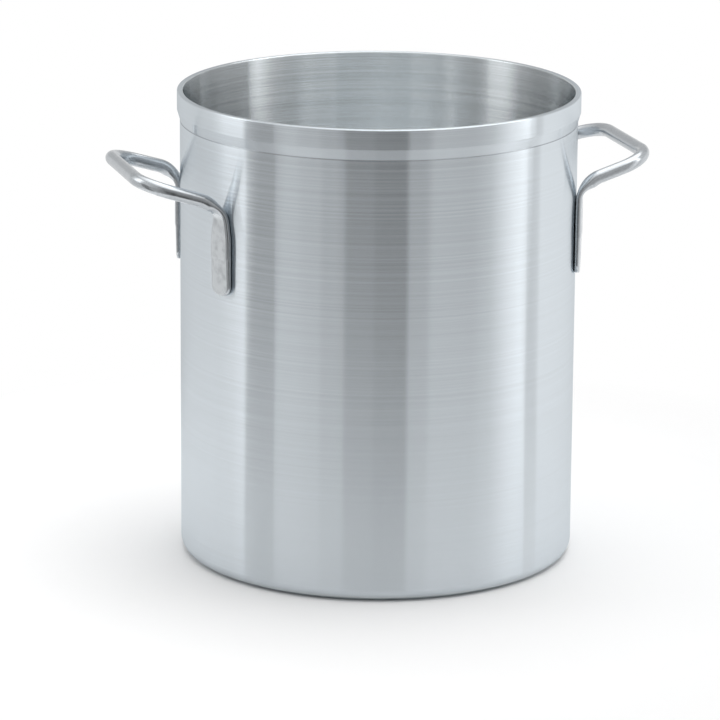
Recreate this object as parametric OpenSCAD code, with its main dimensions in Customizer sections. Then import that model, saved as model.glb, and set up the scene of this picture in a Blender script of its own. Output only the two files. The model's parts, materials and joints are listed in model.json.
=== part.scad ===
// Stock pot: a deep round pot with a thick rim band and two welded loop handles.
// The origin is at the centre of the base's underside. +Z is up, and +X runs through the handles.
// All lengths are in millimetres.

/* [Body] */
// Outside diameter of the wall
wall_od = 277; // [240:1:320]
// Height from the underside to the top of the rim
body_h = 330; // [300:1:400]
// Thickness of the wall
wall_t = 2.1; // [2:0.1:2.6]
// Thickness of the base
base_t = 4.1; // [3:0.1:8]
// Outside radius where the base turns up into the wall
base_outer_r = 9; // [8:0.5:14]
// Inside radius where the base turns up into the wall
base_inner_r = 7; // [4:0.5:7]

/* [Rim band] */
// How far the band stands out from the wall
band_step = 2; // [1:0.1:3]
// Height of the band's straight face, with its rounded top edge
band_h = 13.5; // [8:0.5:20]
// Height of the cone that leads from the band in to the wall
cone_h = 7.3; // [3:0.1:10]
// Depth of the fine groove turned into the wall at the foot of the cone
groove_depth = 0.2; // [0.1:0.05:0.3]
// Height over which the groove runs back out to the wall
groove_h = 0.7; // [0.4:0.1:1.2]
// Radius of the rim's two top edges
rim_edge_r = 0.9; // [0.3:0.1:1.2]

/* [Handles] */
// Diameter of the handle's rod
rod_d = 9.5; // [8:0.1:11]
// Distance from the wall to the middle of the grip
grip_out = 44; // [40:0.5:56]
// Distance from the top of the rim down to the middle of the grip
grip_drop = 46.5; // [40:0.5:70]
// Distance between the corners of the grip, measured to the rod's middle
grip_w = 109; // [100:0.5:112]
// Distance between the two pressed ends, measured to the rod's middle
foot_spacing = 115; // [112:0.5:124]
// How far the arms rise from the wall to the grip
arm_rise = 15.6; // [10:0.1:22]
// Radius of the bend from each pressed end to its arm
foot_bend_r = 17; // [12:0.5:18]
// Radius of the corners between the arms and the grip
corner_r = 24; // [16:0.5:25]

/* [Pressed ends] */
// Width of the pressed end
foot_w = 19; // [15:0.5:20]
// Thickness of the pressed end
foot_t = 4.2; // [3.2:0.1:4.6]
// Distance from the bottom of the pressed end up to where the bend's sides would meet
foot_len = 63.7; // [60:0.1:80]
// Length that is pressed to one even width
press_len = 36; // [30:1:38]
// Length over which the pressed end narrows to the rod's own width
blend_len = 34; // [28:1:36]
// Length that is pressed to one even thickness
thin_len = 53; // [48:0.5:54]
// Length over which the pressed end thickens to the rod's own thickness
thicken_len = 14; // [10:0.5:16]
// Radius of the pressed end's bottom corners
foot_end_r = 7; // [3:0.5:7]

/* [Welds] */
// Diameter of each weld spot
weld_d = 7; // [5:0.5:8]
// How deep a weld spot reaches into the wall
weld_in_wall = 1; // [0.6:0.1:1.4]
// How deep a weld spot reaches into the pressed end
weld_in_foot = 1.4; // [0.8:0.1:1.8]
// Height of the lower weld spot above the bottom of the pressed end
weld_low = 13; // [9:1:16]
// Distance between the two weld spots of one pressed end
weld_pitch = 22; // [14:1:24]

/* [Hidden] */

$fn = 180;

// Body and rim band
wall_r = wall_od / 2;
inner_r = wall_r - wall_t;
band_r = wall_r + band_step;
band_bottom_z = body_h - band_h;
cone_bottom_z = band_bottom_z - cone_h;

// Gap between a pressed end's flat back and the wall, at the middle of its width
foot_gap = 0.1;

// Handle: each side of it is one straight foot, one bend, one arm and half of the grip
rod_r = rod_d / 2;
foot_r = wall_r + foot_gap + rod_r;
foot_angle = asin(foot_spacing / 2 / foot_r);
foot_x = foot_r * cos(foot_angle);
foot_y = foot_spacing / 2;
grip_x = wall_r + grip_out;
grip_z = body_h - grip_drop;
arm_foot_z = grip_z - arm_rise;
foot_bottom_z = arm_foot_z - foot_len;

// Direction across the width of a foot
across = [-sin(foot_angle), cos(foot_angle), 0];

// Direction of an arm, out from its foot, and the line it makes on the floor
arm_dir = unit([grip_x - foot_x, grip_w / 2 - foot_y, arm_rise]);
arm_heading = unit([arm_dir.x, arm_dir.y, 0]);

// Bend between a foot and its arm
foot_turn = acos(arm_dir.z);
foot_tangent = foot_bend_r * tan(foot_turn / 2);
straight_len = foot_len - foot_tangent;
bend_len = foot_bend_r * foot_turn * PI / 180;
swept_len = straight_len + bend_len;

// Corner between an arm and the grip, which runs along -Y
grip_dir = [0, -1, 0];
corner_axis = unit(cross(arm_dir, grip_dir));
corner_turn = acos(arm_dir * grip_dir);
corner_start = [grip_x, grip_w / 2, grip_z] - corner_r * tan(corner_turn / 2) * arm_dir;

// Swept sections
section_sides = 24;
end_steps = 5;
flat_steps = 2;
blend_steps = 24;
corner_steps = 10;

function unit(v) = v / norm(v);

// A vector turned about an axis
function turned(v, axis, angle) =
    v * cos(angle) + cross(axis, v) * sin(angle) + axis * (axis * v) * (1 - cos(angle));

// Direction of the centreline at a distance s above the foot's bottom
function foot_bend(s) = min(foot_turn, max(0, s - straight_len) / foot_bend_r * 180 / PI);
function foot_dir(s) = sin(foot_bend(s)) * arm_heading + [0, 0, cos(foot_bend(s))];

// Point on the centreline: up the foot, then round the bend
function foot_point(s) =
    [foot_x, foot_y, foot_bottom_z + min(s, straight_len)]
    + foot_bend_r * (1 - cos(foot_bend(s))) * arm_heading
    + [0, 0, foot_bend_r * sin(foot_bend(s))];

// A smooth change from 0 to 1 over a length that begins at start
function ease(s, start, length) = (1 - cos(180 * min(1, max(0, s - start) / length))) / 2;

// Section of the foot: rounded in at the bottom, pressed wide and thin, then back to the rod's own
function end_inset(s) = s < foot_end_r ? foot_end_r - sqrt(foot_end_r ^ 2 - (foot_end_r - s) ^ 2) : 0;
function pressed_w(s) = foot_w + (rod_d - foot_w) * ease(s, press_len, blend_len);
function pressed_t(s) = foot_t + (rod_d - foot_t) * ease(s, thin_len, thicken_len);

// One section: flat sides facing in and out, and half-round edges
function section(middle, wide, out, half_flat, half_t) = [
    for (i = [0 : section_sides - 1])
        let (a = (i + 0.5) * 360 / section_sides)
        middle + (half_t * cos(a) + sign(cos(a)) * half_flat) * wide + half_t * sin(a) * out
];

// A section of the foot. Its back stays flush with the wall, however thick it is
function foot_section(s) =
    let (dir = foot_dir(s))
    let (wide = unit(across - (across * dir) * dir))
    let (out = cross(wide, dir))
    let (half_t = pressed_t(s) / 2)
    let (half_flat = max(0, pressed_w(s) / 2 - end_inset(s) - half_t))
    section(foot_point(s) - (rod_r - half_t) * out, wide, out, half_flat, half_t);

// A section of the corner, turned from the arm's towards the grip's
arm_wide = unit(across - (across * arm_dir) * arm_dir);
arm_out = cross(arm_wide, arm_dir);
corner_in = cross(corner_axis, arm_dir);
function corner_point(angle) =
    corner_start + corner_r * (sin(angle) * arm_dir + (1 - cos(angle)) * corner_in);
function corner_section(angle) =
    section(
        corner_point(angle),
        turned(arm_wide, corner_axis, angle),
        turned(arm_out, corner_axis, angle),
        0,
        rod_r
    );

// Sections from the foot's bottom to the middle of the grip
end_stations = [for (i = [0 : end_steps]) foot_end_r * (1 - cos(90 * i / end_steps))];
flat_stations = [for (i = [1 : flat_steps]) foot_end_r + (press_len - foot_end_r) * i / flat_steps];
blend_stations = [for (i = [1 : blend_steps]) press_len + (swept_len - press_len) * i / blend_steps];
foot_stations = concat(end_stations, flat_stations, blend_stations);
foot_sections = [for (s = foot_stations) foot_section(s)];
corner_sections = [for (i = [0 : corner_steps]) corner_section(corner_turn * i / corner_steps)];
grip_middle = [for (p = corner_section(corner_turn)) [p.x, 0, p.z]];
half_sections = concat(foot_sections, corner_sections, [grip_middle]);

// The other half is its mirror image, in reverse order
function mirrored(ring) = [for (p = ring) [p.x, -p.y, p.z]];
other_half = [for (k = [len(half_sections) - 2 : -1 : 0]) mirrored(half_sections[k])];

module sweep(rings) {
    sides = len(rings[0]);
    last = len(rings) - 1;
    points = [for (ring = rings) each ring];
    skin = [
        for (k = [0 : last - 1], i = [0 : sides - 1])
            let (j = (i + 1) % sides)
            [k * sides + i, k * sides + j, (k + 1) * sides + j, (k + 1) * sides + i]
    ];
    bottom_cap = [for (i = [sides - 1 : -1 : 0]) i];
    top_cap = [for (i = [0 : sides - 1]) last * sides + i];
    polyhedron(points, concat(skin, [bottom_cap, top_cap]), convexity = 6);
}

// Half-section of a round cup's outline, from the axis out to radius r, with a rounded bottom corner
module cup_outline(r, bottom_z, top_z, edge_r) {
    translate([0, bottom_z + edge_r]) square([r, top_z - bottom_z - edge_r]);
    translate([0, bottom_z]) square([r - edge_r, top_z - bottom_z]);
    translate([r - edge_r, bottom_z + edge_r]) circle(r = edge_r);
}

module band_section() {
    band_top_z = body_h - rim_edge_r;
    polygon([
        [inner_r, cone_bottom_z],
        [wall_r, cone_bottom_z],
        [band_r, band_bottom_z],
        [band_r, band_top_z],
        [inner_r, band_top_z]
    ]);
    translate([inner_r + rim_edge_r, band_bottom_z])
        square([band_r - inner_r - 2 * rim_edge_r, band_h]);
    for (x = [inner_r + rim_edge_r, band_r - rim_edge_r])
        translate([x, band_top_z]) circle(r = rim_edge_r);
}

// The groove's top is level, and its lower side slants out through the wall's face
module groove_section() {
    polygon([
        [wall_r - groove_depth, cone_bottom_z],
        [wall_r + groove_depth, cone_bottom_z],
        [wall_r + groove_depth, cone_bottom_z - 2 * groove_h]
    ]);
}

module pot_section() {
    difference() {
        cup_outline(wall_r, 0, band_bottom_z, base_outer_r);
        cup_outline(inner_r, base_t, body_h, base_inner_r);
        groove_section();
    }
    band_section();
}

// The pair of weld spots behind one foot, as plain cylinders
module weld_spots() {
    for (z = [weld_low, weld_low + weld_pitch])
        rotate([0, 0, foot_angle])
            translate([wall_r - weld_in_wall, 0, foot_bottom_z + z])
                rotate([0, 90, 0])
                    cylinder(d = weld_d, h = weld_in_wall + foot_gap + weld_in_foot, $fn = 48);
}

module handle() {
    difference() {
        sweep(concat(half_sections, other_half));
        weld_spots();
        mirror([0, 1, 0]) weld_spots();
    }
}

module pot_shell() {
    color("silver")
        difference() {
            rotate_extrude() pot_section();
            for (turn = [0, 180])
                rotate([0, 0, turn]) {
                    weld_spots();
                    mirror([0, 1, 0]) weld_spots();
                }
        }
}

module handle_right() {
    color("gainsboro") handle();
}

module handle_left() {
    color("gainsboro") rotate([0, 0, 180]) handle();
}

module weld_right_rear() {
    color("darkgray") weld_spots();
}

module weld_right_front() {
    color("darkgray") mirror([0, 1, 0]) weld_spots();
}

module weld_left_front() {
    color("darkgray") rotate([0, 0, 180]) weld_spots();
}

module weld_left_rear() {
    color("darkgray") rotate([0, 0, 180]) mirror([0, 1, 0]) weld_spots();
}

pot_shell();
handle_left();
handle_right();
weld_left_front();
weld_left_rear();
weld_right_front();
weld_right_rear();
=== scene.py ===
"""Looks of the stock pot: a satin body brushed round and round, two bright bent-rod handles,
and a plain white studio. Lengths are in metres, in the CAD model's own frame."""

import json
import math

import bpy
from mathutils import Matrix, Vector


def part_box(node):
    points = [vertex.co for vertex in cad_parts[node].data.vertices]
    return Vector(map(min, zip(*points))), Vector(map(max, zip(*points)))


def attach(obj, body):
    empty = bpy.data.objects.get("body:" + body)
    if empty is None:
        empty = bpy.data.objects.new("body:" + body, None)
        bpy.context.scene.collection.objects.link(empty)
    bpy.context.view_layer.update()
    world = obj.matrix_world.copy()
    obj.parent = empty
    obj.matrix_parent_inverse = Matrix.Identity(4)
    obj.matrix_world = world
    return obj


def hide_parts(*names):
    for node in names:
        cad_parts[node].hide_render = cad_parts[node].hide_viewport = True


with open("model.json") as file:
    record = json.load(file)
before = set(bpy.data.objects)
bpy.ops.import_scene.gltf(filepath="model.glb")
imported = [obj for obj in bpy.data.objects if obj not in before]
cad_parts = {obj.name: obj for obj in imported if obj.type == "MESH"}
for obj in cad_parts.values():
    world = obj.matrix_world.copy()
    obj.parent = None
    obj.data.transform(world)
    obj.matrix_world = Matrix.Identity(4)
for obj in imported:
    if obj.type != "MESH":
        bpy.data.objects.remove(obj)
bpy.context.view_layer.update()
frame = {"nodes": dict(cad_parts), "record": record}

MM = 0.001


# ---------------------------------------------------------------- camera

VIEW_AZIMUTH = math.radians(-17.04)  # the camera stands to the left of the pot's own front
VIEW_DISTANCE = 2.992  # from the pot's axis, along the floor
VIEW_HEIGHT = 0.931
VIEW_TILT = math.radians(14.9)  # down
VIEW_PAN = math.radians(-0.23)  # to the left, so the pot stands right of the middle
VIEW_ROLL = math.radians(0.41)
LENS_MM = 219.2
SENSOR_MM = 36


def add_camera():
    data = bpy.data.cameras.new("camera")
    data.sensor_width = SENSOR_MM
    data.lens = LENS_MM
    data.clip_start = 0.1
    data.clip_end = 50
    camera = bpy.data.objects.new("camera", data)
    bpy.context.collection.objects.link(camera)
    stand = Matrix.Translation((0, -VIEW_DISTANCE, VIEW_HEIGHT))
    aim = Matrix.Rotation(-VIEW_PAN, 4, "Z") @ Matrix.Rotation(math.pi / 2 - VIEW_TILT, 4, "X")
    roll = Matrix.Rotation(VIEW_ROLL, 4, "Z")
    camera.matrix_world = Matrix.Rotation(VIEW_AZIMUTH, 4, "Z") @ stand @ aim @ roll
    bpy.context.scene.camera = camera


# ---------------------------------------------------------------- node helpers


class Nodes:
    """A short way to write a node tree."""

    def __init__(self, tree):
        self.tree = tree
        tree.nodes.clear()

    def add(self, kind, inputs=None, **settings):
        """Adds a node. A value in inputs is either a plain value or another node's output."""
        node = self.tree.nodes.new(kind)
        for name, value in settings.items():
            setattr(node, name, value)
        for name, value in (inputs or {}).items():
            if isinstance(value, bpy.types.NodeSocket):
                self.tree.links.new(value, node.inputs[name])
            else:
                node.inputs[name].default_value = value
        return node

    def math(self, operation, a, b, c=0.0):
        node = self.add("ShaderNodeMath", {0: a, 1: b, 2: c}, operation=operation)
        return node.outputs[0]

    def remap(self, value, low, high, to_low, to_high):
        node = self.add(
            "ShaderNodeMapRange",
            {"Value": value, "From Min": low, "From Max": high, "To Min": to_low, "To Max": to_high},
        )
        return node.outputs["Result"]

    def mix(self, factor, a, b):
        """Mixes two colours: inputs 6 and 7 of the node, and its output 2."""
        return self.add("ShaderNodeMix", {0: factor, 6: a, 7: b}, data_type="RGBA").outputs[2]

    def spread(self, noise, low, high):
        """Takes the usual range of a noise, 0.3 to 0.7, to low and high."""
        return self.remap(noise, 0.3, 0.7, low, high)

    def noise(self, vector, scale, detail, rough):
        node = self.add(
            "ShaderNodeTexNoise",
            {"Vector": vector, "Scale": scale, "Detail": detail, "Roughness": rough},
        )
        return node.outputs["Fac"]


# ---------------------------------------------------------------- studio

# A ring of panels and flags stands round the pot. Each row is where a panel begins, in degrees from
# the camera's side towards its right, and its brightness there and where the next one begins.
LOW_PANELS = [
    (-180, 0.85, 0.85),
    (-135, 0.85, 0.80),
    (-97, 0.78, 0.78),
    (-82, 0.85, 0.90),
    (-74.4, 0.27, 0.26),
    (-55.5, 0.56, 0.48),
    (-29.8, 0.38, 0.38),
    (-17.1, 0.19, 0.17),
    (-1.8, 0.11, 0.09),
    (15.6, 0.41, 0.42),
    (26.6, 0.52, 0.51),
    (50, 0.50, 0.63),
    (60, 0.62, 1.00),
    (73, 1.05, 1.25),
    (86.7, 0.75, 0.75),
    (97, 1.05, 0.95),
]
HIGH_PANELS = [
    (-180, 0.65, 0.65),
    (-118, 0.65, 1.10),
    (-103, 1.00, 2.50),
    (-90, 2.50, 1.80),
    (-75, 0.75, 0.75),
    (-56, 0.80, 0.80),
    (-43, 0.60, 0.60),
    (-21, 0.35, 0.35),
    (29, 0.60, 0.55),
    (62, 0.55, 0.90),
    (76, 1.00, 1.50),
    (83, 2.40, 2.60),
    (92, 0.75, 0.80),
    (125, 0.65, 0.65),
]
PANEL_EDGE = 0.8  # half the width of the soft edge between two panels, in degrees
RING_RADIUS = 0.75
RING_LOW, RING_HIGH = -0.5, 1.0
HIGH_FROM, HIGH_FULL = 0.38, 0.44  # heights between which the high panels take over
CEILING = 0.85  # brightness of the room above the ring
SOFTBOX = 3.9  # brightness of the large light overhead, which throws the shadow
SOFTBOX_MIRRORED = 2.1  # its brightness as the metal mirrors it, as if through a diffuser
SOFTBOX_AZIMUTH = math.radians(125)  # from the camera towards its right
SOFTBOX_HEIGHT = math.radians(66)  # above the horizon
SOFTBOX_RIM = math.cos(math.radians(50))  # cosine of the angle from its middle where it begins
SOFTBOX_CORE = math.cos(math.radians(20))  # and of the one inside which it is full
FLOOR_RADIUS = 0.49
FLOOR_PLAIN = 0.33  # beyond this radius the floor fades to pure white
FLOOR_TONE = 0.785


def add_world():
    world = bpy.data.worlds.new("studio")
    bpy.context.scene.world = world
    world.use_nodes = True
    n = Nodes(world.node_tree)
    direction = n.add("ShaderNodeTexCoord").outputs["Generated"]
    azimuth = VIEW_AZIMUTH + SOFTBOX_AZIMUTH
    flat = math.cos(SOFTBOX_HEIGHT)
    softbox = (flat * math.sin(azimuth), -flat * math.cos(azimuth), math.sin(SOFTBOX_HEIGHT))
    dot = n.add("ShaderNodeVectorMath", {0: direction, 1: softbox}, operation="DOT_PRODUCT")
    near = dot.outputs["Value"]
    ray = n.add("ShaderNodeLightPath").outputs
    cast = n.remap(near, SOFTBOX_RIM, SOFTBOX_CORE, CEILING, SOFTBOX)
    mirrored = n.remap(near, SOFTBOX_RIM, SOFTBOX_CORE, CEILING, SOFTBOX_MIRRORED)
    room = n.mix(ray["Is Glossy Ray"], cast, mirrored)
    seen = n.mix(ray["Is Camera Ray"], room, (1, 1, 1, 1))
    background = n.add("ShaderNodeBackground", {"Color": seen})
    n.add("ShaderNodeOutputWorld", {"Surface": background.outputs[0]})


def add_ring():
    """The panels, on a cylinder that glows and that the camera itself doesn't see."""
    turns, rows = 180, 6
    verts = []
    for k in range(rows + 1):
        height = RING_LOW + (RING_HIGH - RING_LOW) * k / rows
        for i in range(turns):
            a = 2 * math.pi * i / turns
            verts.append((RING_RADIUS * math.cos(a), RING_RADIUS * math.sin(a), height))
    faces = bands(rows + 1, turns)
    material = bpy.data.materials.new("panels")
    material.use_nodes = True
    n = Nodes(material.node_tree)
    point = n.add("ShaderNodeTexCoord").outputs["Object"]
    turned = n.add(
        "ShaderNodeVectorRotate", {"Vector": point, "Angle": -VIEW_AZIMUTH}, rotation_type="Z_AXIS"
    ).outputs[0]
    xyz = n.add("ShaderNodeSeparateXYZ", {0: turned}).outputs
    azimuth = n.math("ARCTAN2", xyz["X"], n.math("MULTIPLY", xyz["Y"], -1.0))
    place = n.remap(azimuth, -math.pi, math.pi, 0.0, 1.0)
    shades = []
    for panels in (LOW_PANELS, HIGH_PANELS):
        ramp = n.add("ShaderNodeValToRGB", {"Fac": place})
        fill_ramp(ramp.color_ramp, panels)
        shades.append(ramp.outputs["Color"])
    height = n.remap(xyz["Z"], HIGH_FROM, HIGH_FULL, 0.0, 1.0)
    glow = n.add("ShaderNodeEmission", {"Color": n.mix(height, *shades)})
    n.add("ShaderNodeOutputMaterial", {"Surface": glow.outputs[0]})
    ring = new_object("panel_ring", verts, faces, material)
    ring.visible_camera = False


def fill_ramp(ramp, panels):
    """Turns panels into stops, two for each, with a soft edge between one and the next."""
    stops = []
    for i, (start, first, last) in enumerate(panels):
        end = panels[i + 1][0] if i + 1 < len(panels) else 180
        stops.append((start + PANEL_EDGE, first))
        stops.append((end - PANEL_EDGE, last))
    while len(ramp.elements) > 1:
        ramp.elements.remove(ramp.elements[-1])
    for k, (angle, level) in enumerate(stops):
        position = (angle + 180) / 360
        stop = ramp.elements[0] if k == 0 else ramp.elements.new(position)
        stop.position = position
        stop.color = (level, level, level, 1)


def add_floor():
    """A round sheet, which the camera sees only by the pot's shadow on it."""
    rings, turns = 24, 96
    verts = [(0, 0, 0)]
    for k in range(1, rings + 1):
        for i in range(turns):
            a = 2 * math.pi * i / turns
            r = FLOOR_RADIUS * k / rings
            verts.append((r * math.cos(a), r * math.sin(a), 0))
    faces = fan(turns) + bands(rings, turns, 1)
    floor = new_object("floor", verts, faces, white_floor())


def white_floor():
    material = bpy.data.materials.new("white_floor")
    material.use_nodes = True
    n = Nodes(material.node_tree)
    point = n.add("ShaderNodeTexCoord").outputs["Object"]
    radius = n.add("ShaderNodeVectorMath", {0: point}, operation="LENGTH").outputs["Value"]
    fade = n.remap(radius, FLOOR_PLAIN, FLOOR_RADIUS, 0.0, 1.0)
    shader = n.add("ShaderNodeBsdfDiffuse", {"Color": (FLOOR_TONE, FLOOR_TONE, FLOOR_TONE, 1)})
    white = n.add("ShaderNodeEmission", {"Color": (1, 1, 1, 1)})
    both = n.add("ShaderNodeMixShader", {0: fade, 1: shader.outputs[0], 2: white.outputs[0]})
    n.add("ShaderNodeOutputMaterial", {"Surface": both.outputs[0]})
    return material


# ---------------------------------------------------------------- metals

FINE_PITCH = 0.35 * MM  # how far apart the finest brush lines are
FINE_LENGTH = 150 * MM
COARSE_LENGTH = 1200 * MM
OFF_GRID = 0.4  # moves a long noise off its own grid planes, near which it fades out
BUMP_DEPTH = 0.2 * MM


def brushed_aluminium(name, tones, roughness, anisotropy, pitch, relief):
    """Satin aluminium with fine brush lines that run round the pot's axis.

    tones are its darkest and lightest lines, pitch is how far apart the coarse ones are, and relief
    is their bump strength."""
    material = bpy.data.materials.new(name)
    material.use_nodes = True
    n = Nodes(material.node_tree)
    point = n.add("ShaderNodeTexCoord").outputs["Object"]
    xyz = n.add("ShaderNodeSeparateXYZ", {0: point}).outputs
    flat = n.add("ShaderNodeCombineXYZ", {"X": xyz["X"], "Y": xyz["Y"]}).outputs[0]
    radius = n.add("ShaderNodeVectorMath", {0: flat}, operation="LENGTH").outputs["Value"]
    across = n.math("ADD", xyz["Z"], radius)

    def lines(pitch, length):
        """Noise that is stretched round the axis: its grain is pitch wide and length long."""
        scaled = n.add(
            "ShaderNodeCombineXYZ",
            {
                "X": n.math("MULTIPLY_ADD", xyz["X"], 1 / length, OFF_GRID),
                "Y": n.math("MULTIPLY_ADD", xyz["Y"], 1 / length, OFF_GRID),
                "Z": n.math("MULTIPLY", across, 1 / pitch),
            },
        ).outputs[0]
        return n.noise(scaled, 1.0, 2.0, 0.6)

    fine = lines(FINE_PITCH, FINE_LENGTH)
    coarse = lines(pitch, COARSE_LENGTH)
    height = n.math("ADD", n.math("MULTIPLY", fine, 0.25), coarse)
    bump = n.add("ShaderNodeBump", {"Strength": relief, "Distance": BUMP_DEPTH, "Height": height})
    rough = n.spread(coarse, roughness * 0.95, roughness * 1.05)
    tone = n.remap(n.math("ADD", n.math("MULTIPLY", fine, 0.5), coarse), 0.5, 1.0, 0.0, 1.0)
    tangent = n.add("ShaderNodeTangent", direction_type="RADIAL", axis="Z").outputs[0]
    shader = n.add(
        "ShaderNodeBsdfAnisotropic",
        {
            "Color": n.mix(tone, *tones),
            "Roughness": rough,
            "Anisotropy": anisotropy,
            "Normal": bump.outputs[0],
            "Tangent": tangent,
        },
        distribution="BECKMANN",
    )
    n.add("ShaderNodeOutputMaterial", {"Surface": shader.outputs[0]})
    return material


def bright_rod():
    """Drawn aluminium rod: smooth and bright, duller and scuffed where it was pressed."""
    material = bpy.data.materials.new("bright_rod")
    material.use_nodes = True
    n = Nodes(material.node_tree)
    point = n.add("ShaderNodeTexCoord").outputs["Object"]
    pressed = n.add("ShaderNodeAttribute", attribute_name="pressed").outputs["Fac"]
    cloud = n.noise(point, 160.0, 3.0, 0.55)
    scuff = n.noise(point, 700.0, 3.0, 0.6)
    dull = n.remap(pressed, 0.0, 1.0, 0.21, 0.36)
    rough = n.math("ADD", dull, n.spread(cloud, -0.04, 0.06))
    height = n.math("ADD", n.math("MULTIPLY", scuff, 0.35), cloud)
    bump = n.add("ShaderNodeBump", {"Strength": 0.25, "Distance": BUMP_DEPTH, "Height": height})
    clean = n.mix(n.spread(scuff, 0.0, 1.0), (0.48, 0.505, 0.53, 1), (0.56, 0.59, 0.615, 1))
    face = n.mix(pressed, clean, (0.68, 0.71, 0.73, 1))
    stain = n.math("MULTIPLY", n.remap(cloud, 0.45, 0.65, 0.0, 0.45), pressed)
    colour = n.mix(stain, face, (0.40, 0.42, 0.44, 1))
    shader = n.add(
        "ShaderNodeBsdfPrincipled",
        {"Base Color": colour, "Metallic": 1.0, "Roughness": rough, "Normal": bump.outputs[0]},
    )
    n.add("ShaderNodeOutputMaterial", {"Surface": shader.outputs[0]})
    return material


def weld_metal():
    """Dull fused metal of the weld spots."""
    material = bpy.data.materials.new("weld_metal")
    material.use_nodes = True
    n = Nodes(material.node_tree)
    point = n.add("ShaderNodeTexCoord").outputs["Object"]
    grain = n.noise(point, 1500.0, 3.0, 0.6)
    bump = n.add("ShaderNodeBump", {"Strength": 0.4, "Distance": 0.1 * MM, "Height": grain})
    shader = n.add(
        "ShaderNodeBsdfPrincipled",
        {
            "Base Color": (0.5, 0.51, 0.52, 1),
            "Metallic": 1.0,
            "Roughness": n.spread(grain, 0.45, 0.65),
            "Normal": bump.outputs[0],
        },
    )
    n.add("ShaderNodeOutputMaterial", {"Surface": shader.outputs[0]})
    return material


# ---------------------------------------------------------------- meshes


def new_object(name, verts, faces, material):
    mesh = bpy.data.meshes.new(name)
    mesh.from_pydata([tuple(v) for v in verts], [], faces)
    mesh.validate()
    mesh.shade_smooth()
    mesh.materials.append(material)
    made = bpy.data.objects.new(name, mesh)
    bpy.context.collection.objects.link(made)
    return made


def bands(rings, sides, first=0):
    """Faces between rings of points that follow one another. The first ring starts at point first."""
    faces = []
    for k in range(rings - 1):
        low, high = first + k * sides, first + (k + 1) * sides
        for i in range(sides):
            j = (i + 1) % sides
            faces.append((low + i, high + i, high + j, low + j))
    return faces


def fan(sides):
    """Faces between point 0 and a ring of points that starts at point 1."""
    return [(0, 1 + i, 1 + (i + 1) % sides) for i in range(sides)]


def fillet(before, here, after, radius, steps):
    """Points along the arc that rounds a path's corner at here."""
    back, ahead = (before - here).normalized(), (after - here).normalized()
    half = back.angle(ahead) / 2
    centre = here + (back + ahead).normalized() * radius / math.sin(half)
    start = here + back * radius / math.tan(half) - centre
    end = here + ahead * radius / math.tan(half) - centre
    axis, turn = start.cross(end), start.angle(end)
    return [centre + Matrix.Rotation(turn * i / steps, 3, axis) @ start for i in range(steps + 1)]


def rounded_profile(corners, quarter_steps, spacing):
    """Points through corners of (radius, height, rounding), none further apart than spacing. An arc
    has quarter_steps steps in a quarter turn."""
    places = [Vector((radius, 0, height)) for radius, height, _ in corners]
    profile = [places[0]]
    for before, here, after, corner in zip(places, places[1:], places[2:], corners[1:]):
        turn = (here - before).angle(after - here)
        steps = max(2, round(quarter_steps * turn / (math.pi / 2)))
        profile += fillet(before, here, after, corner[2], steps)
    profile.append(places[-1])
    even = [profile[0]]
    for a, b in zip(profile, profile[1:]):
        pieces = max(1, math.ceil((b - a).length / spacing))
        even += [a.lerp(b, (i + 1) / pieces) for i in range(pieces)]
    return even


def lathe(profile, turns):
    """Turns a profile round the Z axis. Both of its ends lie on the axis."""
    verts = [profile[0]]
    for p in profile[1:-1]:
        for i in range(turns):
            a = -2 * math.pi * i / turns
            verts.append((p.x * math.cos(a), p.x * math.sin(a), p.z))
    top, last = len(verts), len(verts) - turns
    verts.append(profile[-1])
    lid = [(last + (i + 1) % turns, last + i, top) for i in range(turns)]
    return verts, fan(turns) + bands(len(profile) - 2, turns, 1) + lid


# ---------------------------------------------------------------- body

SHELL_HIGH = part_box("pot_shell")[1]
RIM_BORE = next(m for m in frame["record"]["mounts"] if m["name"] == "rim_opening")
BODY_H = SHELL_HIGH[2]
BAND_R = SHELL_HIGH[1]
INNER_R = RIM_BORE["dims"]["r_mm"] * MM
WALL_T = 2.1 * MM
WALL_R = INNER_R + WALL_T
BASE_T = 4.1 * MM
BAND_H = 13.5 * MM
BAND_BOTTOM = BODY_H - BAND_H
CONE_H = 7.3 * MM
CONE_BOTTOM = BAND_BOTTOM - CONE_H
GROOVE_H = 0.7 * MM
GROOVE_BOTTOM = CONE_BOTTOM - GROOVE_H
GROOVE_DEPTH = 0.2 * MM
BASE_OUTER_R = 9 * MM  # this and the next five round the profile's corners
BASE_INNER_R = 7 * MM
RIM_EDGE_R = 0.9 * MM
CONE_TOP_R = 0.5 * MM
CONE_FOOT_R = 0.3 * MM
GROOVE_R = 0.05 * MM
BODY_TURNS = 360
BODY_QUARTER_STEPS = 10
BODY_SPACING = 12 * MM


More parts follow.
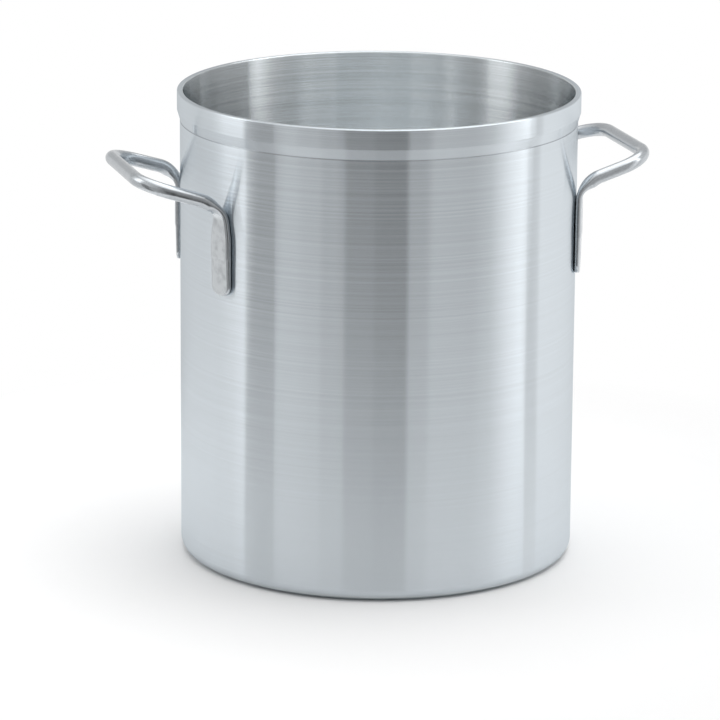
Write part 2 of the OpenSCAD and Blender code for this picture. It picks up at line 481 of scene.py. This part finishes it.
def add_pot_shell():
    outside = brushed_aluminium(
        "brushed_outside",
        tones=((0.65, 0.695, 0.73, 1), (0.685, 0.735, 0.775, 1)),
        roughness=0.163,
        anisotropy=0.93,
        pitch=0.8 * MM,
        relief=0.02,
    )
    # The inside's tones are set lighter than the outside's to brighten the shaded interior, which is
    # painted light. The wider spread between its two tones is brush-line contrast.
    inside = brushed_aluminium(
        "brushed_inside_painted_light",
        tones=((0.68, 0.715, 0.735, 1), (0.80, 0.84, 0.86, 1)),
        roughness=0.16,
        anisotropy=0.95,
        pitch=0.7 * MM,
        relief=0.05,
    )
    # The groove's tones are darker than the wall's: painted shade in the recess under the cone. Its
    # higher roughness is the metal's own.
    groove = brushed_aluminium(
        "groove",
        tones=((0.47, 0.50, 0.53, 1), (0.50, 0.53, 0.56, 1)),
        roughness=0.25,
        anisotropy=0.90,
        pitch=0.8 * MM,
        relief=0.02,
    )
    corners = [
        (0, 0, 0),
        (WALL_R, 0, BASE_OUTER_R),
        (WALL_R, GROOVE_BOTTOM, CONE_FOOT_R),
        (WALL_R - GROOVE_DEPTH, CONE_BOTTOM, GROOVE_R),
        (BAND_R, BAND_BOTTOM, CONE_TOP_R),
        (BAND_R, BODY_H, RIM_EDGE_R),
        (INNER_R, BODY_H, RIM_EDGE_R),
        (INNER_R, BASE_T, BASE_INNER_R),
        (0, BASE_T, 0),
    ]
    profile = rounded_profile(corners, BODY_QUARTER_STEPS, BODY_SPACING)
    verts, faces = lathe(profile, BODY_TURNS)
    shell = new_object("pot_body", verts, faces, outside)
    shell.data.materials.append(inside)
    shell.data.materials.append(groove)
    # Faces inside the rim take the inside material, and the groove's faces take the one with painted
    # shade.
    for face in shell.data.polygons:
        middle = face.center
        if middle.z > BASE_T / 2 and math.hypot(middle.x, middle.y) < INNER_R + RIM_EDGE_R / 2:
            face.material_index = 1
        elif GROOVE_BOTTOM < middle.z < CONE_BOTTOM:
            face.material_index = 2
    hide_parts("pot_shell")
    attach(shell, "root")


# ---------------------------------------------------------------- handles

GRIP_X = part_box("handle_right")[1][0]
ROD_R = 4.75 * MM
FOOT_SPACING = 115 * MM  # between the middles of a handle's two feet
FOOT_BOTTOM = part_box("handle_right")[0][2]
GRIP_W = 109 * MM
GRIP_Z = BODY_H - 46.5 * MM
ARM_FOOT_Z = GRIP_Z - 15.6 * MM
FOOT_BEND_R = 17 * MM
CORNER_R = 24 * MM
FOOT_W = 19 * MM
FOOT_T = 4.2 * MM
FOOT_END_R = 7 * MM
PRESS_LEN = 36 * MM  # of a foot at its full width
BLEND_LEN = 34 * MM  # above that, over which it narrows to the rod's width
THIN_LEN = 53 * MM  # of a foot at its full flatness
THICKEN_LEN = 14 * MM  # above that, over which it becomes round
FOOT_GAP = 0.1 * MM  # between the wall and the middle of a foot's back
FOOT_REACH = WALL_R + FOOT_GAP + ROD_R
FOOT_ANGLE = math.asin(FOOT_SPACING / 2 / FOOT_REACH)
STEP_HEIGHT = 26 * MM  # a faint step across the foot, below which it was pressed a little more
STEP_DEPTH = 0.35 * MM
STEP_BLEND = 1.5 * MM
END_THINNING = 0.6 * MM  # from the step down, the foot gets thinner towards its end
WELD_HEIGHTS = (13 * MM, 35 * MM)
WELD_DENT = 0.35 * MM
WELD_DENT_R = 3.2 * MM
SIDES = 64
FLAT_SIDES = 0.6  # share of a section's sides that lies on its two flats
OUTER_FLAT = 0.98  # share of half a foot's thickness beyond which a point is on its outer flat
BEND_STEPS = 40
SPACING = 1.0 * MM


def centreline():
    """Points and directions from a foot's bottom to the grip's middle, with the distance of each."""
    foot_x, foot_y = FOOT_REACH * math.cos(FOOT_ANGLE), FOOT_SPACING / 2
    foot = Vector((foot_x, foot_y, FOOT_BOTTOM))
    bend = Vector((foot_x, foot_y, ARM_FOOT_Z))
    corner = Vector((GRIP_X - ROD_R, GRIP_W / 2, GRIP_Z))
    middle = Vector((GRIP_X - ROD_R, 0, GRIP_Z))
    points = [foot]
    points += fillet(foot, bend, corner, FOOT_BEND_R, BEND_STEPS)
    points += fillet(bend, corner, middle, CORNER_R, BEND_STEPS)
    points.append(middle)
    return resample(points, SPACING)


def resample(points, step):
    """Points of even spacing along a path, each with its direction and its distance from the start."""
    lengths = [0.0]
    for a, b in zip(points, points[1:]):
        lengths.append(lengths[-1] + (b - a).length)
    count = round(lengths[-1] / step)
    out, k = [], 0
    for i in range(count + 1):
        s = lengths[-1] * i / count
        while k < len(points) - 2 and lengths[k + 1] < s:
            k += 1
        share = (s - lengths[k]) / (lengths[k + 1] - lengths[k])
        out.append((points[k].lerp(points[k + 1], share), s))
    return [
        (p, (out[min(i + 1, count)][0] - out[max(i - 1, 0)][0]).normalized(), s)
        for i, (p, s) in enumerate(out)
    ]


def ease(x):
    """A smooth change from 0 to 1 as x goes from 0 to 1."""
    return (1 - math.cos(math.pi * min(1.0, max(0.0, x)))) / 2


def section(width, thickness, roundness):
    """Points round a flattened rod, as (across, out): flats with round edges, or an oval."""
    half_w, half_t = width / 2, thickness / 2
    points = []
    for i in range(SIDES):
        quarter, turn = divmod((i + 0.5) * 4 / SIDES, 1.0)
        side = turn if quarter % 2 == 0 else 1 - turn  # 0 at an edge, 1 in the middle of a flat
        edge = 1 - FLAT_SIDES
        if side < edge:
            angle = math.pi / 2 * side / edge
            across, out = half_w - half_t + half_t * math.cos(angle), half_t * math.sin(angle)
        else:
            across, out = (half_w - half_t) * (1 - side) / FLAT_SIDES, half_t
        angle = math.pi / 2 * side
        across += (half_w * math.cos(angle) - across) * roundness
        out += (half_t * math.sin(angle) - out) * roundness
        points.append((across if quarter in (0, 3) else -across, out if quarter < 2 else -out))
    return points


def dent(across, s):
    """How far the outer face of a foot lies below the plain pressed face."""
    depth = STEP_DEPTH * (1 - ease((s - STEP_HEIGHT) / STEP_BLEND + 0.5))
    depth += END_THINNING * max(0, 1 - s / STEP_HEIGHT)
    for height in WELD_HEIGHTS:
        away = math.hypot(across, s - height) / WELD_DENT_R
        depth += WELD_DENT * math.exp(-(away**2))
    return depth


def handle_half():
    """Rings of one half of the right handle, and for each of their points how pressed the face is."""
    wide = Vector((-math.sin(FOOT_ANGLE), math.cos(FOOT_ANGLE), 0))
    rings, pressed = [], []
    for point, direction, s in centreline():
        wide = (wide - wide.dot(direction) * direction).normalized()
        out = wide.cross(direction)
        width = FOOT_W + (2 * ROD_R - FOOT_W) * ease((s - PRESS_LEN) / BLEND_LEN)
        roundness = ease((s - THIN_LEN) / THICKEN_LEN)
        thickness = FOOT_T + (2 * ROD_R - FOOT_T) * roundness
        if s < FOOT_END_R:
            width -= 2 * (FOOT_END_R - math.sqrt(FOOT_END_R**2 - (FOOT_END_R - s) ** 2))
        middle = point - (ROD_R - thickness / 2) * out
        ring = []
        for x, y in section(width, thickness, roundness):
            pressed.append((1 - roundness) * (y > OUTER_FLAT * thickness / 2))
            if y > 0 and s < THIN_LEN:
                y -= dent(x, s) * y / (thickness / 2)
            ring.append(middle + x * wide + y * out)
        rings.append(ring)
    return rings, pressed


def add_handle(name, node, turn, material):
    rings, pressed = handle_half()
    rings[-1] = [Vector((p.x, 0, p.z)) for p in rings[-1]]
    rings += [[Vector((p.x, -p.y, p.z)) for p in ring] for ring in reversed(rings[:-1])]
    for k in range(len(pressed) // SIDES - 2, -1, -1):
        pressed += pressed[k * SIDES : (k + 1) * SIDES]
    rotation = Matrix.Rotation(turn, 3, "Z")
    verts = [rotation @ p for ring in rings for p in ring]
    faces = bands(len(rings), SIDES)
    faces.append(tuple(range(SIDES)))
    faces.append(tuple(reversed(range(len(verts) - SIDES, len(verts)))))
    handle = new_object(name, verts, faces, material)
    values = handle.data.attributes.new("pressed", "FLOAT", "POINT")
    values.data.foreach_set("value", pressed)
    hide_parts(node)
    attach(handle, "root")


def finish_welds(material):
    for name, node in frame["nodes"].items():
        if name.startswith("weld_"):
            slots = node.data.materials
            slots.clear()
            slots.append(material)


# ---------------------------------------------------------------- the scene

bpy.context.scene.view_settings.view_transform = "Standard"
add_camera()
add_world()
add_ring()
add_floor()
add_pot_shell()
rod = bright_rod()
add_handle("rod_handle_right", "handle_right", 0, rod)
add_handle("rod_handle_left", "handle_left", math.pi, rod)
finish_welds(weld_metal())
